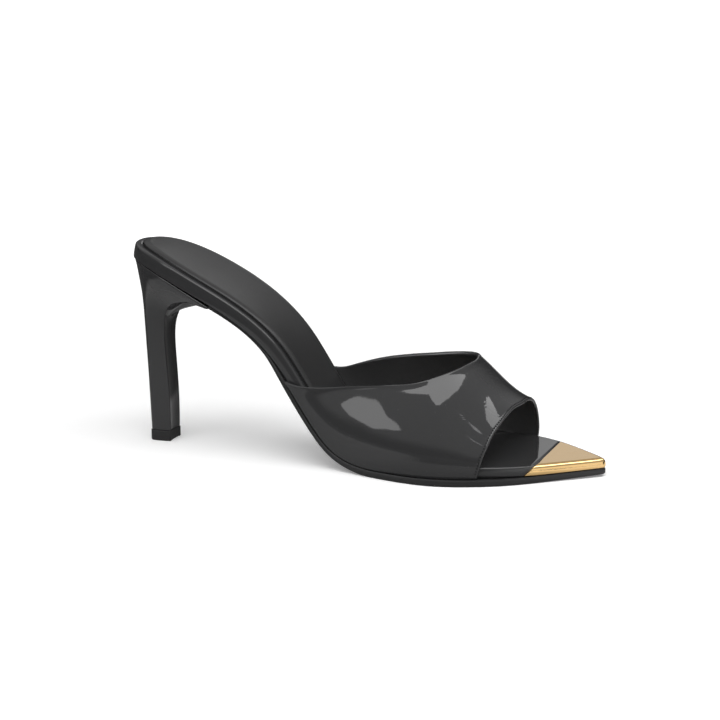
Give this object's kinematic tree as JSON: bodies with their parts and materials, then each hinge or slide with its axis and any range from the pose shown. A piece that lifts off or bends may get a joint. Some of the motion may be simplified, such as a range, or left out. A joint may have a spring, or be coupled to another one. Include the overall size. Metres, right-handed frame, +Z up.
{
  "type": "heeled mule sandal",
  "caption": "High-heeled backless mule for the right foot, with a patent vamp open at the toe, a wrapped footbed, a gold metal toe cap and a slim covered heel.",
  "frame": {"origin": "on the floor, under the middle of the shoe's bounding box", "axes": "+X towards the toe, -Y towards the outer side of the right foot, +Z up from the floor"},
  "size_m": [0.2276, 0.0798, 0.0969],
  "materials": {
    "patent": "patent, high gloss",
    "sock": "satin",
    "gold": "polished, gold plated",
    "sole": "satin",
    "top_piece": "matt"
  },
  "bodies": {
    "root": {"footbed": "patent", "sock": "sock", "vamp": "patent", "toe_cap": "gold", "outsole": "sole", "heel": "patent", "top_piece": "top_piece"}
  },
  "joints": []
}
